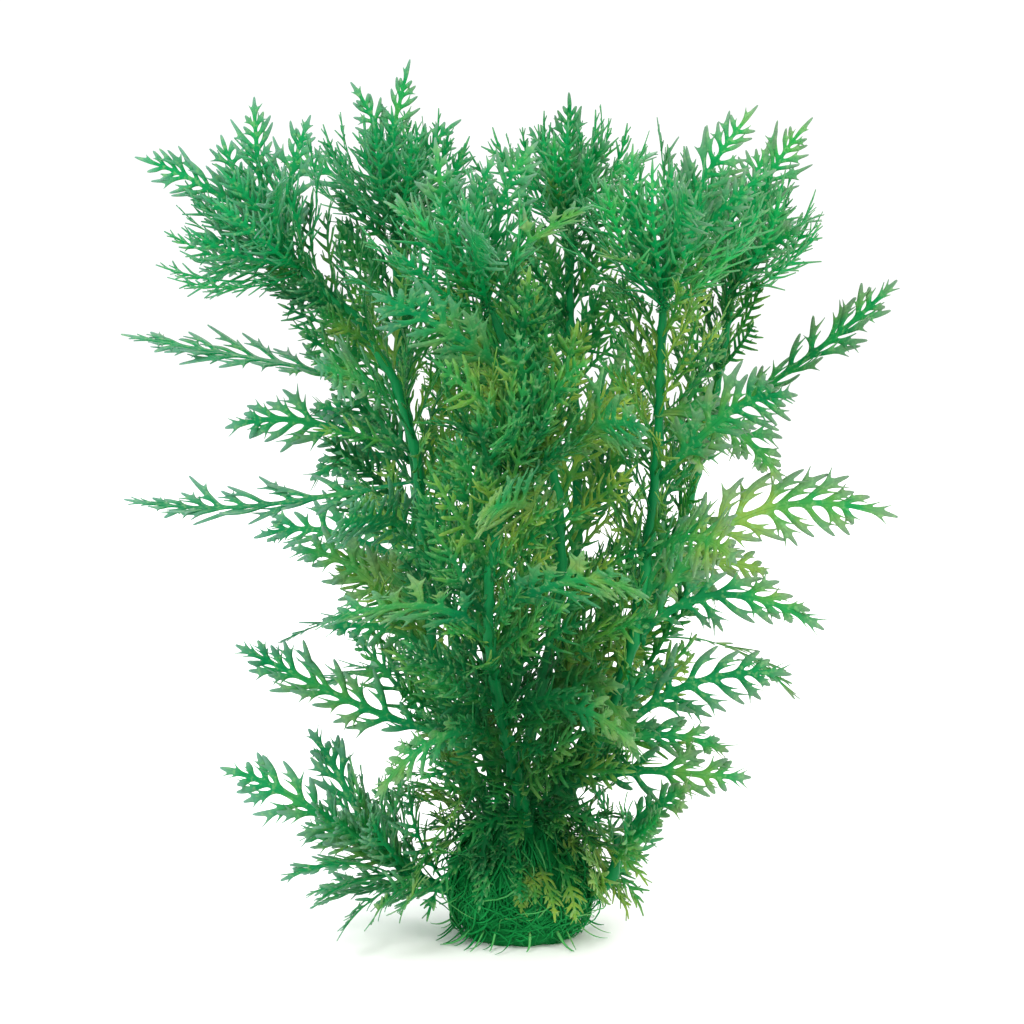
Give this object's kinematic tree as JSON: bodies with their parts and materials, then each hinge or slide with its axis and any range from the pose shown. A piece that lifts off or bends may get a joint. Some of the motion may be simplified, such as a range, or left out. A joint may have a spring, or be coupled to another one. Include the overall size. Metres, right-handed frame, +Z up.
{
  "type": "water wisteria",
  "caption": "Rooted bunch of an aquarium plant: leafy stems with feather-cut leaves rise and fan out from a matted root mass, which it stands on.",
  "frame": {"origin": "middle of the flat underside of the roots, which the bunch stands on", "axes": "+Z up along the stems; -Y is the front, the side that the picture shows; +X is to the right in that view"},
  "size_m": [0.232, 0.1986, 0.265],
  "materials": {
    "roots": "matte",
    "stem": "satin",
    "leaf": "satin",
    "young_leaf": "satin"
  },
  "bodies": {
    "root": {"roots": "roots", "stem_left": "stem", "stem_left_back": "stem", "stem_centre_left": "stem", "stem_middle_back": "stem", "stem_right": "stem", "stem_right_back": "stem", "stem_front": "stem", "stem_back": "stem", "stem_low_left": "stem", "stem_low_right": "stem", "crown_left": "young_leaf", "crown_left_back": "young_leaf", "crown_centre_left": "young_leaf", "crown_middle_back": "young_leaf", "crown_right": "young_leaf", "crown_right_back": "young_leaf", "crown_front": "young_leaf", "crown_back": "young_leaf", "leaf_left_1": "leaf", "leaf_left_2": "leaf", "leaf_left_3": "leaf", "leaf_left_4": "leaf", "leaf_left_5": "leaf", "leaf_left_6": "leaf", "leaf_left_7": "leaf", "leaf_left_back_1": "leaf", "leaf_left_back_2": "leaf", "leaf_left_back_3": "leaf", "leaf_left_back_4": "leaf", "leaf_centre_left_1": "leaf", "leaf_centre_left_2": "leaf", "leaf_centre_left_3": "leaf", "leaf_centre_left_4": "leaf", "leaf_centre_left_5": "leaf", "leaf_middle_back_1": "leaf", "leaf_middle_back_2": "leaf", "leaf_middle_back_3": "leaf", "leaf_middle_back_4": "leaf", "leaf_right_1": "leaf", "leaf_right_2": "leaf", "leaf_right_3": "leaf", "leaf_right_4": "leaf", "leaf_right_5": "leaf", "leaf_right_6": "leaf", "leaf_right_back_1": "leaf", "leaf_right_back_2": "leaf", "leaf_right_back_3": "leaf", "leaf_right_back_4": "leaf", "leaf_front_1": "leaf", "leaf_front_2": "leaf", "leaf_front_3": "leaf", "leaf_front_4": "leaf", "leaf_back_1": "leaf", "leaf_back_2": "leaf", "leaf_back_3": "leaf", "leaf_low_left_1": "leaf", "leaf_low_left_2": "leaf", "leaf_low_left_3": "leaf", "leaf_low_right_1": "leaf"}
  },
  "joints": []
}
